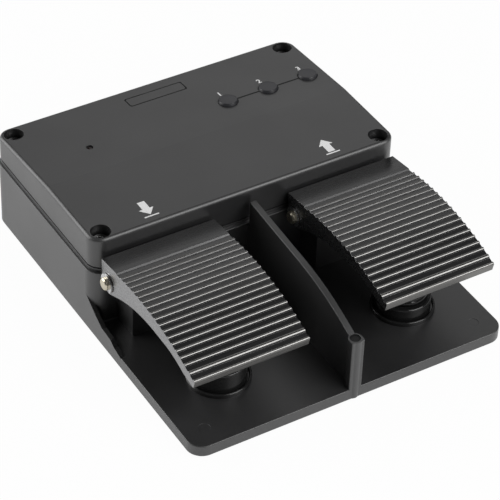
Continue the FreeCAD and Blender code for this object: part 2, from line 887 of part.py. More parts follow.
def guide_post(side):
    """Post on which the plunger slides, with a flange and a threaded spigot."""
    flange_z = flange_top_z - guide_flange_thickness
    steps = [
        (0, spigot_bottom_z),
        (spigot_r, spigot_bottom_z),
        (spigot_r, flange_z),
        (guide_flange_r, flange_z),
        (guide_flange_r, flange_top_z),
        (guide_r, flange_top_z),
        (guide_r, guide_top_z - guide_chamfer),
        (guide_r - guide_chamfer, guide_top_z),
        (0, guide_top_z),
    ]
    return turned(steps, side * boot_x, boot_y)


def sensor_board(side):
    """Round board under the guide post's flange."""
    return ring(sensor_board_r, spigot_r, plate_top_z, plate_top_z + sensor_board_thickness,
                side * boot_x, boot_y)


def sensor_chips(side):
    """Small packages round the edge of the sensor board."""
    chips = []
    for turn in (0, 120, 240):
        z = plate_top_z + sensor_board_thickness
        chip = box(chip_ring_r - chip_half_depth, chip_ring_r + chip_half_depth,
                   -chip_half_length, chip_half_length, z, z + chip_height)
        chip.rotate(V(0, 0, 0), ALONG_Z, turn)
        chip.translate(V(side * boot_x, boot_y, 0))
        chips.append(chip)
    return Part.makeCompound(chips)


def arc_edge(start, tangent, end):
    """Arc that leaves start along tangent and arrives at end."""
    chord = end - start
    reach = chord.Length
    along = chord * (1 / reach)
    side = tangent - along * tangent.dot(along)
    turn = math.atan2(side.Length, tangent.dot(along))
    side.normalize()
    middle = (start + end) * 0.5 + side * (reach / 2 * math.tan(turn / 2))
    return Part.Arc(start, middle, end).toShape()


def coil_wire(mean_r, z0, z1, turns):
    """Two tangent arcs for every quarter turn of a coil."""
    rise = (z1 - z0) / (turns * 2 * math.pi)
    steps = int(turns * 4)

    def spot(k):
        a = math.pi / 2 * k
        return V(mean_r * math.cos(a), mean_r * math.sin(a), z0 + rise * a)

    def heading(k):
        a = math.pi / 2 * k
        direction = V(-mean_r * math.sin(a), mean_r * math.cos(a), rise)
        return direction.normalize()

    edges = []
    for k in range(steps):
        p, q, t, u = spot(k), spot(k + 1), heading(k), heading(k + 1)
        span = q - p
        both = span.dot(t + u)
        spread = 2 * (1 - t.dot(u))
        reach = (-both + math.sqrt(both ** 2 + spread * span.dot(span))) / spread
        joint = (p + t * reach + q - u * reach) * 0.5
        edges.append(arc_edge(p, t, joint))
        backwards = arc_edge(q, u * -1, joint)
        edges.append(Part.Arc(joint, backwards.valueAt(
            (backwards.FirstParameter + backwards.LastParameter) / 2), q).toShape())
    return Part.Wire(edges)


def least_gap(wire, wire_r, turns):
    """Least gap between turns of a coil, measured on points of its centre line."""
    points = wire.discretize(int(turns * 36) + 1)
    apart = 20
    return min(p.distanceToPoint(q) for i, p in enumerate(points)
               for q in points[i + apart:]) - 2 * wire_r


def return_spring(side, name, z0, z1):
    """Coil spring between the guide post's flange and the plunger's collar."""
    path = coil_wire(spring_mean_r, z0 + spring_wire_r + spring_end_gap,
                     z1 - spring_wire_r - spring_end_gap, spring_turns)
    start = path.Edges[0]
    section = Part.Wire(Part.makeCircle(spring_wire_r, start.valueAt(start.FirstParameter),
                                        start.tangentAt(start.FirstParameter)))
    sweep = Part.BRepOffsetAPI.MakePipeShell(path)
    sweep.add(section)
    sweep.build()
    sweep.makeSolid()
    solid = sweep.shape()
    expected = math.pi * spring_wire_r ** 2 * path.Length
    print(name, "spring: least gap %.2f, volume %.4f of its tube"
          % (least_gap(path, spring_wire_r, spring_turns), solid.Volume / expected))
    solid.translate(V(side * boot_x, boot_y, 0))
    return solid


def tube_along(corners, r):
    """Round tube along straight runs, with a tangent arc at each corner."""
    here = corners[0]
    edges = []
    for before, corner, after in zip(corners, corners[1:], corners[2:]):
        inward = (before - corner).normalize() * cable_bend_r
        outward = (after - corner).normalize() * cable_bend_r
        start, end = corner + inward, corner + outward
        middle = corner + (inward + outward) * (1 - math.sqrt(0.5))
        edges.append(line(here, start))
        edges.append(Part.Arc(start, middle, end).toShape())
        here = end
    edges.append(line(here, corners[-1]))
    section = Part.Wire(Part.makeCircle(r, corners[0], corners[1] - corners[0]))
    sweep = Part.BRepOffsetAPI.MakePipeShell(Part.Wire(edges))
    sweep.add(section)
    sweep.build()
    sweep.makeSolid()
    return sweep.shape()


def header_bottom_z(y_local):
    """Height of the lowest edge of a header's underside."""
    turn = math.radians(slope_deg)
    depth = board_top - board_thickness - header_height
    front = y_local - header_half_y
    rear = y_local + header_half_y
    return min(slope_z(button_y) + depth * math.cos(turn) - y * math.sin(turn)
               for y in (front, rear))


def header_centre_y(y_local):
    """Station of the middle of a header's underside."""
    turn = math.radians(slope_deg)
    depth = board_top - board_thickness - header_height
    return button_y + y_local * math.cos(turn) + depth * math.sin(turn)


def sensor_cable_route(side, front_z, rear_z):
    """Corners of the way from a sensor board, along the base's channel, to the main board."""
    x = side * boot_x
    y = button_y + header_y
    return [V(x, cable_drop_y, front_z), V(x, cable_drop_y, cable_z), V(x, y, cable_z),
            V(x, y, rear_z)]


def sensor_cable(side):
    """Cable from a sensor board up to the main board."""
    top = header_bottom_z(header_y) - cable_gap
    return tube_along(sensor_cable_route(side, plate_top_z, top), cable_r)


def socket_cable():
    """Cable from the rear socket up to the main board."""
    y = header_centre_y(socket_header_y)
    start = base_rear_y - socket_length - cable_gap
    return tube_along([V(0, start, socket_z), V(0, y, socket_z),
                       V(0, y, header_bottom_z(socket_header_y) - cable_gap)], cable_r)


def button_cap(x):
    """Low domed cap with a bevelled rim and a flange under the cover."""
    bottom = -cover_wall - cap_flange_thickness
    steps = [
        (0, bottom),
        (cap_flange_r, bottom),
        (cap_flange_r, -cover_wall),
        (cap_r, -cover_wall),
        (cap_r, cap_skirt_top),
        (cap_bevel_r, cap_bevel_top),
        dome(cap_bevel_r, cap_bevel_top, cap_top),
    ]
    return on_slope(turned(steps), x)


def button_stem(x):
    """Stem under a cap, which sinks into the well of its switch."""
    top = -cover_wall - cap_flange_thickness
    return on_slope(rod(button_stem_r, board_top + switch_height - stem_in_switch, top), x)


def tact_switches():
    """Square switch under each button, with a well in which the stem slides."""
    top = board_top + switch_height
    well_depth = stem_in_switch + button_travel + switch_well_spare
    switch = box(-switch_half, switch_half, -switch_half, switch_half, board_top, top)
    well = rod(button_stem_r + button_stem_clearance, top - well_depth, top + past)
    switch = switch.cut(well)
    return Part.makeCompound([on_slope(switch, x) for x in button_xs])


def status_lens():
    """Light guide in the cover, glued by its flange."""
    steps = [
        (0, lens_bottom),
        (lens_r, lens_bottom),
        (lens_r, -cover_wall - lens_flange_thickness),
        (lens_flange_r, -cover_wall - lens_flange_thickness),
        (lens_flange_r, -cover_wall),
        (lens_r, -cover_wall),
        (lens_r, -lens_recess - lens_dome),
        dome(lens_r, -lens_recess - lens_dome, -lens_recess),
    ]
    return on_slope(turned(steps), lens_x)


def status_led():
    """Light source on the board, under its guide."""
    return on_slope(box(-led_half, led_half, -led_half, led_half,
                        board_top, board_top + led_height), lens_x)


def circuit_board():
    """Main board, parallel to the slope."""
    board = box(board_left, board_right, -board_half_depth, board_half_depth,
                board_top - board_thickness, board_top)
    for x, y in board_screw_spots():
        board = board.cut(rod(board_screw_r, board_top - board_thickness - past,
                              board_top + past, x, y))
    return on_slope(board)


def board_screws():
    """Screws that hold the main board to the cover."""
    under = board_top - board_thickness
    return Part.makeCompound([on_slope(fused([
        rod(board_head_r, under - board_head_height, under, x, y),
        rod(board_screw_r, under, board_screw_top, x, y)])) for x, y in board_screw_spots()])


def board_chips():
    """Packages on the underside of the main board."""
    under = board_top - board_thickness
    return Part.makeCompound([on_slope(box(x - half_x, x + half_x, y - half_y, y + half_y,
                                           under - height, under))
                              for x, y, half_x, half_y, height in board_packages])


def board_headers():
    """Sockets on the underside of the main board for the three cables."""
    under = board_top - board_thickness
    spots = [(-boot_x, header_y), (boot_x, header_y), (0, socket_header_y)]
    return Part.makeCompound([on_slope(box(x - header_half_x, x + header_half_x,
                                           y - header_half_y, y + header_half_y,
                                           under - header_height, under)) for x, y in spots])


def socket_shell():
    """Round socket body, flush with the rear wall, with a nut's thread inside."""
    rear = base_rear_y
    inner = rear - socket_length
    flange = rod_y(socket_flange_r, rear - socket_flange_depth, rear, socket_z)
    barrel = rod_y(socket_hole_r, inner, rear, socket_z)
    bore = rod_y(socket_bore_r, inner + socket_floor, rear + past, socket_z)
    shell = fused([flange, barrel]).cut(bore)
    for x, z in contact_spots():
        shell = shell.cut(Part.makeCylinder(contact_r, socket_floor + 2 * past,
                                            V(x, inner - past, z), ALONG_Y))
    return shell


def contact_spots():
    spots = []
    for k in range(contact_count):
        turn = math.radians(90 + 360 / contact_count * k)
        spots.append((contact_ring_r * math.cos(turn), socket_z + contact_ring_r * math.sin(turn)))
    return spots


def socket_insert():
    """Insulating block at the bottom of the socket."""
    inner = base_rear_y - socket_length + socket_floor
    block = rod_y(insert_core_r, inner, inner + insert_core_length, socket_z)
    for x, z in contact_spots():
        block = block.cut(Part.makeCylinder(contact_r, insert_core_length + 2 * past,
                                            V(x, inner - past, z), ALONG_Y))
    return block


def socket_pins():
    """Contact pins of the socket."""
    inner = base_rear_y - socket_length
    return Part.makeCompound([Part.makeCylinder(contact_r, socket_floor + contact_length,
                                                V(x, inner, z), ALONG_Y)
                              for x, z in contact_spots()])


def socket_nut():
    """Hexagon nut inside the rear wall."""
    nut = hexagon(nut_across, 0, nut_thickness)
    nut = nut.cut(rod(socket_hole_r, -past, nut_thickness + past))
    nut.rotate(V(0, 0, 0), ALONG_X, 90)
    nut.translate(V(0, -cover_wall, socket_z))
    return nut


def foot_spots():
    return [(side * foot_x, y) for side in (-1, 1) for y in foot_ys]


def rubber_feet():
    """Round feet under the base, each with a recess for its screw."""
    feet = []
    for x, y in foot_spots():
        foot = rod(foot_r, -foot_height, 0, x, y)
        foot = foot.makeFillet(foot_edge_round, edges_where(foot, lambda b: b.ZMax < -foot_height + 0.1))
        foot = foot.cut(rod(foot_recess_r, -foot_height - past,
                            -foot_height + foot_recess_depth, x, y))
        foot = foot.cut(rod(foot_shank_r, -foot_height, past, x, y))
        feet.append(foot)
    return Part.makeCompound(feet)


def foot_screws():
    """Screws that hold the feet."""
    seat = -foot_height + foot_recess_depth
    return Part.makeCompound([fused([rod(foot_head_r, seat - foot_head_height, seat, x, y),
                                     rod(foot_shank_r, seat, foot_shank_top_z, x, y)])
                              for x, y in foot_spots()])


def save_pedal_side(name, side):
    """All pieces of one pedal."""
    tilt = left_rest_deg if side < 0 else 0.0
    cuff_z = left_cuff_z if side < 0 else right_cuff_z
    folds = left_folds if side < 0 else right_folds
    top_z = head_z(tilt)
    save(name + "_pedal", pedal(side, tilt))
    save(name + "_hinge_pin", hinge_pin(side))
    save(name + "_pin_clips", pin_clips(side))
    save(name + "_bushes", bushes(side))
    save(name + "_boot_ring", boot_ring(side))
    save(name + "_boot_cuff", boot_cuff(side, cuff_z))
    save(name + "_bellows", bellows(side, cuff_z, top_z - collar_drop, folds))
    save(name + "_plunger", plunger(side, top_z))
    save(name + "_return_spring", return_spring(side, name, flange_top_z, top_z - collar_drop))
    save(name + "_guide_post", guide_post(side))
    save(name + "_sensor_magnet", sensor_magnet(side))
    save(name + "_sensor_board", sensor_board(side))
    save(name + "_sensor_chips", sensor_chips(side))
    save(name + "_sensor_cable", sensor_cable(side))
    travel = top_z - head_z(full_press_deg)
    swing = full_press_deg - tilt
    print(name, "pedal swings %.1f deg, plunger sinks %.3f mm, %.5f m per rad"
          % (swing, travel, travel / 1000 / math.radians(swing)))


save_base()
save("top_cover", top_cover())
save("cover_gasket", cover_gasket())
save("cover_screws", cover_screws())
save("cover_inserts", cover_inserts())
save("post_plug", post_plug())
for side_name, side_sign in SIDES:
    save_pedal_side(side_name, side_sign)
for number, button_x in enumerate(button_xs, 1):
    save("button_%d_cap" % number, button_cap(button_x))
    save("button_%d_stem" % number, button_stem(button_x))
save("tact_switches", tact_switches())
save("status_lens", status_lens())
save("status_led", status_led())
save("circuit_board", circuit_board())
save("board_screws", board_screws())
save("board_chips", board_chips())
save("board_headers", board_headers())
save("socket_shell", socket_shell())
save("socket_insert", socket_insert())
save("socket_pins", socket_pins())
save("socket_nut", socket_nut())
save("socket_cable", socket_cable())
save("rubber_feet", rubber_feet())
save("foot_screws", foot_screws())
print("pieces saved, slope %.3f deg, middle at y %.3f" % (slope_deg, middle_y))
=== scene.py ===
import json
import math

import bmesh
import bpy
from mathutils import Matrix, Vector

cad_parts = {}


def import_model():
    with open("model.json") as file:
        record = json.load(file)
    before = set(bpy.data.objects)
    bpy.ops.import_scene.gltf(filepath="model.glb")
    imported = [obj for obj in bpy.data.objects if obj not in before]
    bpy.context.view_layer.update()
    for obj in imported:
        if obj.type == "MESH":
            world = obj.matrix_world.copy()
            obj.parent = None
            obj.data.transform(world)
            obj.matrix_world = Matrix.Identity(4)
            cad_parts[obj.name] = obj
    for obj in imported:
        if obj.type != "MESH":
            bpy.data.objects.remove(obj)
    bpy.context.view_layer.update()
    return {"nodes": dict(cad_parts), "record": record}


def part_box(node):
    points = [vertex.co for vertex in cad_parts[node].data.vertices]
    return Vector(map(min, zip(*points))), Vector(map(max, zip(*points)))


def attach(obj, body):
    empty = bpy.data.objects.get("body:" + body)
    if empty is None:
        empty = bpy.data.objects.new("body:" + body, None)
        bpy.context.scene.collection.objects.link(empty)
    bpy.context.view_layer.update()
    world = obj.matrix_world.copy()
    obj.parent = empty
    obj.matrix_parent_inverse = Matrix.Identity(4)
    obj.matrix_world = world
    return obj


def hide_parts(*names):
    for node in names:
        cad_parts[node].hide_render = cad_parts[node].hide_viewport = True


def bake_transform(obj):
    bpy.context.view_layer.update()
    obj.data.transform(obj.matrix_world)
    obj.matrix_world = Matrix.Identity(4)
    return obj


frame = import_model()

MM = 0.001

# Places in the part's own frame, in millimetres: x to the right, y to the back, z up
COVER_REAR_Y = 125.15
COVER_REAR_Z = 66.1
CREASE_Y = 55.95
COVER_TOP_Z = 71.5
BUTTON_Y = 79.95
BOOT_Y = -78.85
SLOPE = math.atan2(COVER_TOP_Z - COVER_REAR_Z, COVER_REAR_Y - CREASE_Y)

# Buttons, painted shade over the groove between them and the bare label plate in its pocket, with
# painted shade in the gap round it
BUTTON_XS = (34.3, 63.4, 92.5)
WELL_R = 6.5
GROOVE_SHADE_WIDTH = 1.2
CAP_OUTLINE = ((0, -4.0), (7.3, -4.0), (7.4, -3.9), (7.4, -3.1), (7.3, -3.0), (6.25, -3.0),
               (6.2, -2.9), (6.2, 0.3), (6.17, 0.4), (5.78, 1.46), (5.7, 1.62), (5.55, 1.71),
               (5.3, 1.75), (2.8, 1.81), (0, 1.84))
LABEL_REAR_Y = 116.05
LABEL_FRONT_Y = 106.25
LABEL_HALF_WIDTH = 20.4
LABEL_CORNER = 1.5
LABEL_DEPTH = 0.5
LABEL_GAP = 0.9
LABEL_SHADE_DEPTH = 0.3
FLUSH = 0.03

# Pedals: the middle of the ribs' arc seen from the side, how far below it a crest's face
# starts and is full, where the ribs and the nose start, their painted highlight colour and the
# ends' colours
LEFT_ARC = (0.0, -0.05008, -0.10651)
RIGHT_ARC = (0.0, -0.05491, -0.1053)
RIB_ARC_R = 0.1709
CREST_LOW = 0.00045
CREST_HIGH = 0.0002
RIBS_START_Y = -0.026
NOSE_Y = -0.1126
# Painted highlight: lighter colour on the rib crests and the nose
CREST_HIGHLIGHT_COLOR = (0.2, 0.197, 0.19)
END_DARK = (0.27, 0.27, 0.275)
END_PALE = (0.38, 0.38, 0.385)

# Pedal pins: their ends, thinner than the bearing, and the clips on them
PIN_R = 5.0
PIN_END_R = 4.0
PIN_END = 3.6
PIN_CHAMFER = 0.7
CLIP_INNER_R = 4.03
CLIP_OUTER_R = 6.15
CLIP_NEAR = 3.15
CLIP_FAR = 2.15
CLIP_MOUTH = 35
CLIP_STEP = 5

# Printed marks on the cover
PRINT_LIFT = 0.03
DIGIT_HEIGHT = 4.2
DIGIT_BOLD = 0.025
DIGIT_Y = 90.1
DIGIT_XS = (33.8, 62.6, 91.7)
ARROW_HALF_WIDTH = 4.8
ARROW_TAIL_HALF = 2.4
ARROW_HEAD = 5.65
ARROW_LENGTH = 12.75
ARROW_BAR_GAP = 0.9
ARROW_BAR = 1.0
LEFT_ARROW_X = -63.05
LEFT_ARROW_TIP_Y = 4.0
RIGHT_ARROW_X = 62.8
RIGHT_ARROW_TIP_Y = 16.85

# Boots
FOLD_CREST_R = 14.6
FOLD_VALLEY_R = 12.4
FOLD_WALL = 1.1
RIGHT_FOLDS = 6
LEFT_FOLDS = 5
SPRING_MEAN_R = 8.5
SPRING_WIRE_R = 0.6
SPRING_TURNS = 6.5
STEPS_PER_FOLD = 12
STEPS_PER_TURN = 24
WIRE_SIDES = 10

# Camera, measured from the photograph
CAMERA_AZIMUTH = -32.308
CAMERA_ELEVATION = 40.003
CAMERA_ROLL = -2.285
CAMERA_DISTANCE = 1.460976
CAMERA_TARGET = Vector((0.0, -0.00085, 0.0345))
TARGET_RIGHT_OF_AXIS = -0.002685
TARGET_BELOW_AXIS = -0.009497
CAMERA_LENS = 173.82
CAMERA_SENSOR = 36.0

# The floor: half its side, and the share of plain white in it for the camera and for mirrors
FLOOR_HALF = 6000.0
FLOOR_SEEN = 0.97
FLOOR_MIRRORED = 0.55

LAMP_DISTANCE = 1.5
LAMP_TARGET = Vector((0.0, 0.0, 0.03))


class Nodes:
    """A material with its node tree and a few short ways to build it."""

    def __init__(self, name):
        self.material = bpy.data.materials.new(name)
        self.material.use_nodes = True
        self.tree = self.material.node_tree
        self.shader = self.tree.nodes["Principled BSDF"]
        self.output = self.tree.nodes["Material Output"]
        self.place = self.add("ShaderNodeTexCoord").outputs["Object"]

    def add(self, kind, **settings):
        node = self.tree.nodes.new(kind)
        for key, value in settings.items():
            setattr(node, key, value)
        return node

    def link(self, source, target):
        self.tree.links.new(source, target)

    def base(self, color, roughness, metallic=0.0, specular=0.5, coat=0.0, coat_roughness=0.3):
        self.shader.inputs["Base Color"].default_value = (*color, 1.0)
        self.shader.inputs["Roughness"].default_value = roughness
        self.shader.inputs["Metallic"].default_value = metallic
        self.shader.inputs["Specular IOR Level"].default_value = specular
        self.shader.inputs["Coat Weight"].default_value = coat
        self.shader.inputs["Coat Roughness"].default_value = coat_roughness
        return self

    def stretched(self, scale):
        mapping = self.add("ShaderNodeMapping")
        mapping.inputs["Scale"].default_value = scale
        self.link(self.place, mapping.inputs["Vector"])
        return mapping.outputs["Vector"]

    def noise(self, scale, detail=3.0, roughness=0.5, vector=None):
        node = self.add("ShaderNodeTexNoise")
        node.inputs["Scale"].default_value = scale
        node.inputs["Detail"].default_value = detail
        node.inputs["Roughness"].default_value = roughness
        self.link(vector or self.place, node.inputs["Vector"])
        return node.outputs["Fac"]

    def spread(self, source, low, high, from_low=0.3, from_high=0.7):
        node = self.add("ShaderNodeMapRange")
        node.inputs["From Min"].default_value = from_low
        node.inputs["From Max"].default_value = from_high
        node.inputs["To Min"].default_value = low
        node.inputs["To Max"].default_value = high
        self.link(source, node.inputs["Value"])
        return node.outputs["Result"]

    def ramp(self, source, stops):
        node = self.add("ShaderNodeValToRGB")
        while len(node.color_ramp.elements) < len(stops):
            node.color_ramp.elements.new(0.5)
        for element, (position, color) in zip(node.color_ramp.elements, stops):
            element.position = position
            element.color = (*color, 1.0)
        self.link(source, node.inputs["Fac"])
        return node.outputs["Color"]

    def color(self, source, low, high):
        self.link(self.ramp(source, ((0.3, low), (0.7, high))), self.shader.inputs["Base Color"])
        return self

    def rough(self, source, low, high):
        self.link(self.spread(source, low, high), self.shader.inputs["Roughness"])
        return self

    def math(self, operation, first, second=0.0):
        node = self.add("ShaderNodeMath", operation=operation)
        for socket, value in zip(node.inputs, (first, second)):
            if isinstance(value, float):
                socket.default_value = value
            else:
                self.link(value, socket)
        return node.outputs[0]

    def mixed(self, share, first, second):
        """Colour between first and second, each a colour or an output."""
        node = self.add("ShaderNodeMix", data_type="RGBA")
        self.link(share, node.inputs["Factor"])
        for socket, value in zip(node.inputs[6:8], (first, second)):
            if isinstance(value, tuple):
                socket.default_value = (*value, 1.0)
            else:
                self.link(value, socket)
        return node.outputs[2]

    def parts_of(self, vector):
        node = self.add("ShaderNodeSeparateXYZ")
        self.link(vector, node.inputs[0])
        return node.outputs

    def bump(self, source, depth, strength=1.0, round_edges=0.0):
        node = self.add("ShaderNodeBump")
        node.inputs["Strength"].default_value = strength
        node.inputs["Distance"].default_value = depth
        self.link(source, node.inputs["Height"])
        if round_edges:
            bevel = self.add("ShaderNodeBevel", samples=4)
            bevel.inputs["Radius"].default_value = round_edges
            self.link(bevel.outputs["Normal"], node.inputs["Normal"])
        self.link(node.outputs["Normal"], self.shader.inputs["Normal"])
        return self


def powder_coat():
    """Black powder coat: a fine even grain with a little cloudiness in its gloss."""
    m = Nodes("powder_coat").base((0.012, 0.012, 0.0125), 0.5, 0.0, 0.8, 1.0, 0.4)
    grain = m.noise(1500.0, 2.0)
    cloud = m.noise(25.0, 3.0)
    m.color(cloud, (0.0105, 0.0105, 0.011), (0.0135, 0.0135, 0.014))
    m.rough(cloud, 0.46, 0.56)
    m.bump(grain, 0.00003, 0.5, 0.0004)
    return m.material


def crest_share(m):
    """Where the painted highlight goes: one on the tops of a pedal's ribs and on its nose, none
    between and on the band.
    """
    x, y = m.parts_of(m.place)[:2]
    centre = m.add("ShaderNodeMix", data_type="VECTOR")
    m.link(m.math("GREATER_THAN", x, 0.0), centre.inputs["Factor"])
    centre.inputs[4].default_value = LEFT_ARC
    centre.inputs[5].default_value = RIGHT_ARC
    side_view = m.add("ShaderNodeVectorMath", operation="MULTIPLY")
    m.link(m.place, side_view.inputs[0])
    side_view.inputs[1].default_value = (0.0, 1.0, 1.0)
    reach = m.add("ShaderNodeVectorMath", operation="DISTANCE")
    m.link(side_view.outputs[0], reach.inputs[0])
    m.link(centre.outputs[1], reach.inputs[1])
    high = m.spread(reach.outputs["Value"], 0.0, 1.0, RIB_ARC_R - CREST_LOW,
                    RIB_ARC_R - CREST_HIGH)
    ribs = m.math("MULTIPLY", high, m.math("LESS_THAN", y, RIBS_START_Y))
    return m.math("MAXIMUM", ribs, m.math("LESS_THAN", y, NOSE_Y))


def end_share(m):
    """One on the machined faces at both ends of a pedal."""
    normal = m.tree.nodes["Texture Coordinate"].outputs["Normal"]
    return m.math("GREATER_THAN", m.math("ABSOLUTE", m.parts_of(normal)[0]), 0.9)


def anodised():
    """Black anodised extrusion with a painted highlight on the rib crests and nose, and bare
    machined ends.
    """
    m = Nodes("anodised").base((0.016, 0.016, 0.0165), 0.34, 0.0, 0.7, 0.15, 0.25)
    lines = m.noise(900.0, 3.0, 0.6, m.stretched((0.03, 1.0, 1.0)))
    cloud = m.noise(40.0, 2.0)
    crest = crest_share(m)
    end = end_share(m)
    dark = m.ramp(cloud, ((0.3, (0.011, 0.011, 0.0115)), (0.7, (0.015, 0.015, 0.0155))))
    # Painted highlight: the crests and nose take a lighter colour in place of their highlights
    painted_crests = m.mixed(crest, dark, CREST_HIGHLIGHT_COLOR)
    grain = m.ramp(m.noise(1100.0, 3.0, 0.7), ((0.35, END_DARK), (0.65, END_PALE)))
    m.link(m.mixed(end, painted_crests, grain), m.shader.inputs["Base Color"])
    # The painted highlight on the crests is metallic, as are the bare ends
    m.link(m.math("MAXIMUM", crest, end), m.shader.inputs["Metallic"])
    m.rough(lines, 0.22, 0.34)
    m.bump(lines, 0.00002, 0.35, 0.0004)
    return m.material


def rubber(name, level, roughness=0.5, edge=0.0003):
    """Moulded rubber with a faint bloom."""
    m = Nodes(name).base((level, level, level), roughness)
    bloom = m.noise(60.0, 4.0)
    m.color(bloom, (level * 0.8,) * 3, (level * 1.3,) * 3)
    m.rough(bloom, roughness, roughness + 0.15)
    m.bump(m.noise(1800.0, 2.0), 0.00002, 0.4, edge)
    return m.material


def plastic(name, color, roughness=0.4):
    """Moulded plastic with a fine spark-eroded grain."""
    m = Nodes(name).base(color, roughness)
    grain = m.noise(1200.0, 2.0)
    cloud = m.noise(50.0, 2.0)
    m.color(cloud, tuple(c * 0.88 for c in color), tuple(min(1.0, c * 1.12) for c in color))
    m.rough(cloud, roughness - 0.05, roughness + 0.07)
    m.bump(grain, 0.00002, 0.3, 0.0002)
    return m.material


def metal(name, color, roughness=0.3, stretch=(1.0, 1.0, 1.0)):
    """Bare or plated metal with fine turning or drawing lines."""
    m = Nodes(name).base(color, roughness, 1.0)
    lines = m.noise(1500.0, 3.0, 0.6, m.stretched(stretch))
    stain = m.noise(180.0, 3.0)
    m.color(stain, tuple(c * 0.8 for c in color), tuple(min(1.0, c * 1.1) for c in color))
    m.rough(lines, roughness - 0.08, roughness + 0.1)
    m.bump(lines, 0.00001, 0.4, 0.0001)
    return m.material


def laminate():
    """Circuit board: green resist with darker tracks."""
    m = Nodes("laminate").base((0.02, 0.13, 0.05), 0.35)
    tracks = m.noise(220.0, 1.0, 0.2, m.stretched((1.0, 0.25, 1.0)))
    m.color(tracks, (0.01, 0.09, 0.035), (0.03, 0.2, 0.08))
    m.rough(m.noise(80.0), 0.28, 0.42)
    m.bump(tracks, 0.00003, 0.4)
    return m.material


def clear_red():
    """Dark clear plastic of the light guide."""
    m = Nodes("clear_red").base((0.01, 0.002, 0.002), 0.08)
    m.color(m.noise(120.0), (0.008, 0.0015, 0.0015), (0.012, 0.0025, 0.0025))
    m.rough(m.noise(90.0), 0.05, 0.14)
    return m.material


def print_white():
    """Screen printed white ink."""
    m = Nodes("print_white").base((0.95, 0.95, 0.95), 0.5)
    m.color(m.noise(900.0, 3.0), (0.92, 0.92, 0.92), (0.98, 0.98, 0.98))
    m.rough(m.noise(300.0), 0.42, 0.6)
    m.bump(m.noise(1600.0), 0.00001, 0.3)
    return m.material


MATERIALS = {
    "case_coat": powder_coat(),
    "pedal_anodised": anodised(),
    "seal_rubber": rubber("seal_rubber", 0.004, 0.7),
    "boot_rubber": rubber("boot_rubber", 0.014, 0.08, 0.0005),
    "foot_rubber": rubber("foot_rubber", 0.025),
    "cable_sheath": rubber("cable_sheath", 0.03),
    "black_steel": metal("black_steel", (0.28, 0.28, 0.28), 0.3),
    "insert_brass": metal("insert_brass", (0.72, 0.52, 0.22)),
    "bush_bronze": metal("bush_bronze", (0.5, 0.34, 0.17), 0.4),
    "pin_zinc": metal("pin_zinc", (0.76, 0.7, 0.56), 0.3, (0.05, 1.0, 1.0)),
    "clip_steel": metal("clip_steel", (0.7, 0.7, 0.7), 0.25),
    "spring_steel": metal("spring_steel", (0.55, 0.55, 0.56), 0.3),
    "post_steel": metal("post_steel", (0.6, 0.6, 0.6), 0.2),
    "magnet_nickel": metal("magnet_nickel", (0.7, 0.68, 0.64), 0.15),
    "screw_steel": metal("screw_steel", (0.62, 0.62, 0.62), 0.3),
    "socket_metal": metal("socket_metal", (0.6, 0.59, 0.56), 0.25),
    "pin_gold": metal("pin_gold", (0.85, 0.62, 0.25), 0.2),
    "plunger_plastic": plastic("plunger_plastic", (0.03, 0.03, 0.03)),
    "chip_black": plastic("chip_black", (0.02, 0.02, 0.02), 0.35),
    "button_plastic": plastic("button_plastic", (0.034, 0.034, 0.038), 0.35),
    "switch_plastic": plastic("switch_plastic", (0.06, 0.06, 0.06), 0.3),
    "led_plastic": plastic("led_plastic", (0.8, 0.8, 0.72), 0.25),
    "header_plastic": plastic("header_plastic", (0.8, 0.77, 0.66), 0.4),
    "socket_plastic": plastic("socket_plastic", (0.03, 0.03, 0.03), 0.4),
    "board_laminate": laminate(),
    "lens_plastic": clear_red(),
}
PRINT = print_white()


def dress_nodes():
    """Gives every CAD node the material of its slot."""
    slots = {s["node"]: s["material_slot"] for s in frame["record"]["subparts"]}
    for name, node in frame["nodes"].items():
        node.data.materials.clear()
        node.data.materials.append(MATERIALS[slots[name]])


def piece(name, bm, material, body, smooth=True):
    """Turns a bmesh in millimetres into a piece that rides on a CAD body."""
    bmesh.ops.recalc_face_normals(bm, faces=bm.faces)
    mesh = bpy.data.meshes.new(name)
    bm.to_mesh(mesh)
    bm.free()
    mesh.transform(Matrix.Scale(MM, 4))
    for polygon in mesh.polygons:
        polygon.use_smooth = smooth
    mesh.materials.append(material)
    obj = bpy.data.objects.new(name, mesh)
    bpy.context.scene.collection.objects.link(obj)
    if body:
        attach(obj, body)
    return obj


def on_slope(x, y, lift=PRINT_LIFT):
    """Turns flat millimetre points into points on the cover's rear slope, lift above it."""
    middle = Vector((x, y, COVER_REAR_Z + (COVER_REAR_Y - y) * math.tan(SLOPE) + lift))
    return Matrix.Translation(middle) @ Matrix.Rotation(-SLOPE, 4, "X")


def print_digits():
    """Plain numbers beside the buttons."""
    for number, x in enumerate(DIGIT_XS, 1):
        text = bpy.data.curves.new("digit", "FONT")
        text.body = str(number)
        text.align_x = "CENTER"
        text.align_y = "CENTER"
        text.size = 1.0
        text.offset = DIGIT_BOLD
        holder = bpy.data.objects.new("digit", text)
        bpy.context.scene.collection.objects.link(holder)
        bpy.context.view_layer.update()
        mesh = bpy.data.meshes.new_from_object(holder)
        bpy.data.objects.remove(holder)
        bm = bmesh.new()
        bm.from_mesh(mesh)
        low = min(v.co.y for v in bm.verts)
        high = max(v.co.y for v in bm.verts)
        left = min(v.co.x for v in bm.verts)
        right = max(v.co.x for v in bm.verts)
        scale = DIGIT_HEIGHT / (high - low)
        for v in bm.verts:
            v.co = Vector(((v.co.x - (left + right) / 2) * scale,
                           (v.co.y - (low + high) / 2) * scale, 0))
        bmesh.ops.transform(bm, matrix=on_slope(x, DIGIT_Y), verts=bm.verts)
        piece("digit_%d" % number, bm, PRINT, "case", smooth=False)


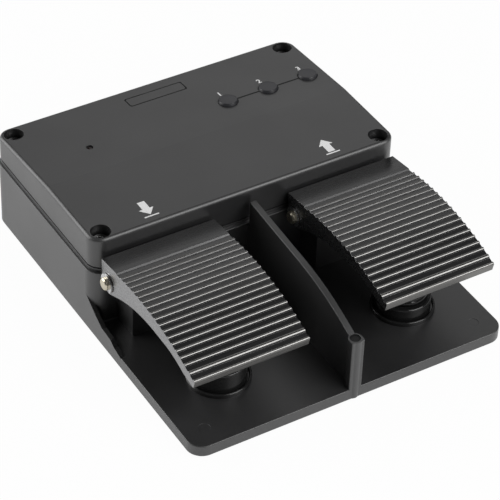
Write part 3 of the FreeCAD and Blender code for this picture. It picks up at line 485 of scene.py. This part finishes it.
def print_arrow(name, x, tip_y, way):
    """Arrow with a bar beyond its tip or its tail; way is -1 towards the user, 1 away."""
    bm = bmesh.new()

    def flat(points):
        vertices = [bm.verts.new((x + px, tip_y + way * py, COVER_TOP_Z + PRINT_LIFT))
                    for px, py in points]
        bm.faces.new(vertices)

    flat([(0, 0), (ARROW_HALF_WIDTH, -ARROW_HEAD), (-ARROW_HALF_WIDTH, -ARROW_HEAD)])
    flat([(-ARROW_TAIL_HALF, -ARROW_HEAD), (ARROW_TAIL_HALF, -ARROW_HEAD),
          (ARROW_TAIL_HALF, -ARROW_LENGTH), (-ARROW_TAIL_HALF, -ARROW_LENGTH)])
    bar = ARROW_BAR_GAP if way < 0 else -ARROW_LENGTH - ARROW_BAR_GAP - ARROW_BAR
    flat([(-ARROW_HALF_WIDTH, bar), (ARROW_HALF_WIDTH, bar),
          (ARROW_HALF_WIDTH, bar + ARROW_BAR), (-ARROW_HALF_WIDTH, bar + ARROW_BAR)])
    piece(name, bm, PRINT, "case", smooth=False)


def groove_lines():
    """Painted shade: thin black lines over the groove between the buttons, standing for the shade
    in it.
    """
    for number, (left, right) in enumerate(zip(BUTTON_XS, BUTTON_XS[1:]), 1):
        half_length = (right - left) / 2 - WELL_R
        half_width = GROOVE_SHADE_WIDTH / 2
        bm = bmesh.new()
        corners = [bm.verts.new((sx * half_length, sy * half_width, 0)) for sx, sy in
                   ((-1, -1), (1, -1), (1, 1), (-1, 1))]
        bm.faces.new(corners)
        bmesh.ops.transform(bm, matrix=on_slope((left + right) / 2, BUTTON_Y), verts=bm.verts)
        # Painted shade: the strip's near-black rubber colour stands for the shade in the groove
        piece("groove_line_%d" % number, bm, MATERIALS["seal_rubber"], "case", smooth=False)


def rounded(half_width, front, rear, corner, z, bm):
    """Loop of vertices round a rectangle with rounded corners."""
    loop = []
    for cx, cy, start in ((half_width - corner, rear - corner, 0),
                          (-half_width + corner, rear - corner, 90),
                          (-half_width + corner, front + corner, 180),
                          (half_width - corner, front + corner, 270)):
        for step in range(0, 91, 10):
            turn = math.radians(start + step)
            loop.append(bm.verts.new((cx + corner * math.cos(turn),
                                      cy + corner * math.sin(turn), z)))
    return loop


def label_plate():
    """Bare plate in the rear pocket, with a black ring in the gap round it as painted shade of the
    pocket's walls.
    """
    middle = (LABEL_REAR_Y + LABEL_FRONT_Y) / 2
    half_depth = (LABEL_REAR_Y - LABEL_FRONT_Y) / 2
    inner_corner = LABEL_CORNER - LABEL_GAP / 2

    def loop(bm, inset, corner, z):
        return rounded(LABEL_HALF_WIDTH - inset, -half_depth + inset, half_depth - inset,
                       corner, z - PRINT_LIFT, bm)

    bm = bmesh.new()
    top = loop(bm, LABEL_GAP, inner_corner, -FLUSH)
    foot = loop(bm, LABEL_GAP, inner_corner, -LABEL_DEPTH + FLUSH)
    bm.faces.new(top)
    bm.faces.new(foot)
    for k in range(len(top)):
        n = (k + 1) % len(top)
        bm.faces.new((top[k], foot[k], foot[n], top[n]))
    bmesh.ops.transform(bm, matrix=on_slope(0.0, middle), verts=bm.verts)
    piece("label_plate", bm, MATERIALS["case_coat"], "case", smooth=False)

    # Painted shade: a near-black ring fills the gap round the plate
    bm = bmesh.new()
    outer = loop(bm, FLUSH, LABEL_CORNER, -LABEL_SHADE_DEPTH)
    inner = loop(bm, LABEL_GAP - FLUSH, inner_corner, -LABEL_SHADE_DEPTH)
    for k in range(len(outer)):
        n = (k + 1) % len(outer)
        bm.faces.new((outer[k], outer[n], inner[n], inner[k]))
    bmesh.ops.transform(bm, matrix=on_slope(0.0, middle), verts=bm.verts)
    piece("label_gap_shade", bm, MATERIALS["seal_rubber"], "case", smooth=False)


def turned_mesh(outline, x, y, segments=72):
    """A closed outline of (radius, z) turned round the upright axis at x, y."""
    bm = bmesh.new()
    rings = []
    for k in range(segments):
        turn = 2 * math.pi * k / segments
        rings.append([bm.verts.new((x + r * math.cos(turn), y + r * math.sin(turn), z))
                      for r, z in outline])
    for ring, after in zip(rings, rings[1:] + rings[:1]):
        for k in range(len(outline)):
            n = (k + 1) % len(outline)
            bm.faces.new((ring[k], after[k], after[n], ring[n]))
    return bm


def turned_solid(outline, segments=72):
    """A half outline of (radius, z) that starts and ends on the upright axis, turned round it."""
    bm = bmesh.new()
    low = bm.verts.new((0, 0, outline[0][1]))
    high = bm.verts.new((0, 0, outline[-1][1]))
    rings = []
    for k in range(segments):
        turn = 2 * math.pi * k / segments
        rings.append([bm.verts.new((r * math.cos(turn), r * math.sin(turn), z))
                      for r, z in outline[1:-1]])
    for ring, after in zip(rings, rings[1:] + rings[:1]):
        bm.faces.new((low, after[0], ring[0]))
        for k in range(len(ring) - 1):
            bm.faces.new((ring[k], after[k], after[k + 1], ring[k + 1]))
        bm.faces.new((high, ring[-1], after[-1]))
    return bm


def button_caps():
    """Buttons with a leaning rim and a crisp, slightly domed top."""
    for number, x in enumerate(BUTTON_XS, 1):
        bm = turned_solid(CAP_OUTLINE)
        bmesh.ops.transform(bm, matrix=on_slope(x, BUTTON_Y, 0.0), verts=bm.verts)
        obj = piece("button_%d_top" % number, bm, MATERIALS["button_plastic"],
                    "button_%d" % number)
        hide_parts("button_%d_cap" % number)


def hinge_pin(side):
    """Pin with thinner, chamfered ends."""
    node = side + "_hinge_pin"
    low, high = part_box(node)
    reach = (high.x - low.x) / 2 / MM
    half = [(0, -reach), (PIN_END_R - PIN_CHAMFER, -reach), (PIN_END_R, -reach + PIN_CHAMFER),
            (PIN_END_R, -reach + PIN_END), (PIN_R, -reach + PIN_END)]
    bm = turned_solid(half + [(r, -z) for r, z in half[::-1]])
    place = Matrix.Translation((low + high) / 2 / MM) @ Matrix.Rotation(math.radians(90), 4, "Y")
    bmesh.ops.transform(bm, matrix=place, verts=bm.verts)
    obj = piece(side + "_stepped_pin", bm, MATERIALS["pin_zinc"], "case", False)
    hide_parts(node)


def pin_clips(side):
    """Open spring rings near both ends of a pin, their mouths downwards."""
    node = side + "_pin_clips"
    low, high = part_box(side + "_hinge_pin")
    middle = (low + high) / 2 / MM
    reach = (high.x - low.x) / 2 / MM
    bm = bmesh.new()
    for end in (-1, 1):
        sections = []
        for degrees in range(-90 + CLIP_MOUTH, 271 - CLIP_MOUTH, CLIP_STEP):
            turn = math.radians(degrees)
            sections.append([bm.verts.new((middle.x + end * (reach - depth),
                                           middle.y + r * math.cos(turn),
                                           middle.z + r * math.sin(turn)))
                             for r, depth in ((CLIP_INNER_R, CLIP_NEAR), (CLIP_OUTER_R, CLIP_NEAR),
                                              (CLIP_OUTER_R, CLIP_FAR), (CLIP_INNER_R, CLIP_FAR))])
        for section, after in zip(sections, sections[1:]):
            for k in range(4):
                n = (k + 1) % 4
                bm.faces.new((section[k], after[k], after[n], section[n]))
        bm.faces.new(sections[0])
        bm.faces.new(sections[-1])
    obj = piece(side + "_open_clips", bm, MATERIALS["clip_steel"], "case", False)
    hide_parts(node)


def bellows(side, folds):
    """Rubber folds with rounded crests and valleys, from the cuff to the plunger's collar."""
    node = side + "_bellows"
    low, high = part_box(node)
    x = (low.x + high.x) / 2 / MM
    z0, z1 = low.z / MM, high.z / MM
    middle = (FOLD_CREST_R + FOLD_VALLEY_R + FOLD_WALL) / 2
    swing = (FOLD_CREST_R - FOLD_VALLEY_R - FOLD_WALL) / 2
    steps = folds * STEPS_PER_FOLD
    outside = []
    inside = []
    for k in range(steps + 1):
        z = z0 + (z1 - z0) * k / steps
        wave = -math.cos(2 * math.pi * folds * k / steps)
        outside.append((middle + swing * wave, z))
        inside.append((middle - FOLD_WALL + swing * wave, z))
    bm = turned_mesh(outside + inside[::-1], x, BOOT_Y)
    obj = piece(side + "_boot_folds", bm, MATERIALS["boot_rubber"], None)
    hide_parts(node)
    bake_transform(obj)


def coil(side):
    """Return spring as one round wire."""
    node = side + "_return_spring"
    low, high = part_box(node)
    x = (low.x + high.x) / 2 / MM
    z0, z1 = low.z / MM + SPRING_WIRE_R, high.z / MM - SPRING_WIRE_R
    bm = bmesh.new()
    rings = []
    steps = int(SPRING_TURNS * STEPS_PER_TURN)
    for k in range(steps + 1):
        turn = 2 * math.pi * SPRING_TURNS * k / steps
        out = Vector((math.cos(turn), math.sin(turn), 0))
        centre = Vector((x, BOOT_Y, z0 + (z1 - z0) * k / steps)) + out * SPRING_MEAN_R
        ring = []
        for j in range(WIRE_SIDES):
            a = 2 * math.pi * j / WIRE_SIDES
            offset = out * math.cos(a) + Vector((0, 0, math.sin(a)))
            ring.append(bm.verts.new(centre + offset * SPRING_WIRE_R))
        rings.append(ring)
    for ring, after in zip(rings, rings[1:]):
        for j in range(WIRE_SIDES):
            n = (j + 1) % WIRE_SIDES
            bm.faces.new((ring[j], after[j], after[n], ring[n]))
    bm.faces.new(rings[0])
    bm.faces.new(rings[-1])
    obj = piece(side + "_coil", bm, MATERIALS["spring_steel"], None)
    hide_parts(node)
    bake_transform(obj)


def floor():
    """Pale floor that stays white and keeps a soft shadow."""
    bm = bmesh.new()
    corners = [bm.verts.new((sx * FLOOR_HALF, sy * FLOOR_HALF, 0)) for sx, sy in
               ((-1, -1), (1, -1), (1, 1), (-1, 1))]
    bm.faces.new(corners)
    m = Nodes("floor").base((0.9, 0.9, 0.9), 0.9, 0.0, 0.2)
    m.color(m.noise(3.0), (0.88, 0.88, 0.88), (0.92, 0.92, 0.92))
    path = m.add("ShaderNodeLightPath")
    seen = m.math("MULTIPLY", path.outputs["Is Camera Ray"], FLOOR_SEEN)
    mirrored = m.math("MAXIMUM", path.outputs["Is Glossy Ray"],
                      path.outputs["Is Transmission Ray"])
    share = m.math("MAXIMUM", seen, m.math("MULTIPLY", mirrored, FLOOR_MIRRORED))
    white = m.add("ShaderNodeEmission")
    mix = m.add("ShaderNodeMixShader")
    m.link(share, mix.inputs[0])
    m.link(m.shader.outputs[0], mix.inputs[1])
    m.link(white.outputs[0], mix.inputs[2])
    m.link(mix.outputs[0], m.output.inputs["Surface"])
    piece("floor", bm, m.material, None)


def world():
    """Even grey surroundings."""
    w = bpy.data.worlds.new("surroundings")
    bpy.context.scene.world = w
    w.use_nodes = True
    back = w.node_tree.nodes["Background"]
    back.inputs["Color"].default_value = (1.0, 1.0, 1.0, 1.0)
    back.inputs["Strength"].default_value = 0.08


def lamp(name, azimuth, elevation, size, power):
    """Soft square lamp, turned towards the part from an azimuth counted from +x to +y."""
    light = bpy.data.lights.new(name, "AREA")
    light.size = size
    light.energy = power
    obj = bpy.data.objects.new(name, light)
    way = Vector((math.cos(math.radians(azimuth)) * math.cos(math.radians(elevation)),
                  math.sin(math.radians(azimuth)) * math.cos(math.radians(elevation)),
                  math.sin(math.radians(elevation))))
    obj.location = way * LAMP_DISTANCE
    obj.rotation_euler = (LAMP_TARGET - obj.location).to_track_quat("-Z", "Y").to_euler()
    bpy.context.scene.collection.objects.link(obj)


def lamps():
    lamp("behind_left", 138, 24, 1.2, 14.0)
    lamp("front", 298, 41, 1.0, 15.0)
    lamp("right", 58, 38, 0.9, 1.75)


def camera():
    """Camera at the photograph's place, found by fitting the object's edges."""
    azimuth = math.radians(CAMERA_AZIMUTH)
    elevation = math.radians(CAMERA_ELEVATION)
    back = Vector((math.sin(azimuth) * math.cos(elevation),
                   -math.cos(azimuth) * math.cos(elevation), math.sin(elevation)))
    level_right = (-back).cross(Vector((0, 0, 1))).normalized()
    level_up = level_right.cross(-back)
    roll = math.radians(CAMERA_ROLL)
    right = level_right * math.cos(roll) - level_up * math.sin(roll)
    up = level_up * math.cos(roll) + level_right * math.sin(roll)
    data = bpy.data.cameras.new("camera")
    data.lens = CAMERA_LENS
    data.sensor_width = CAMERA_SENSOR
    data.sensor_fit = "HORIZONTAL"
    data.clip_end = 30.0
    obj = bpy.data.objects.new("camera", data)
    place = (CAMERA_TARGET - right * TARGET_RIGHT_OF_AXIS + up * TARGET_BELOW_AXIS
             + back * CAMERA_DISTANCE)
    turn = Matrix((right, up, back)).transposed().to_4x4()
    obj.matrix_world = Matrix.Translation(place) @ turn
    bpy.context.scene.collection.objects.link(obj)
    bpy.context.scene.camera = obj


dress_nodes()
print_digits()
button_caps()
groove_lines()
label_plate()
print_arrow("arrow_left", LEFT_ARROW_X, LEFT_ARROW_TIP_Y, -1)
print_arrow("arrow_right", RIGHT_ARROW_X, RIGHT_ARROW_TIP_Y, 1)
for side in ("left", "right"):
    hinge_pin(side)
    pin_clips(side)
bellows("left", LEFT_FOLDS)
bellows("right", RIGHT_FOLDS)
coil("left")
coil("right")
floor()
world()
lamps()
camera()
bpy.context.scene.view_settings.view_transform = "Standard"
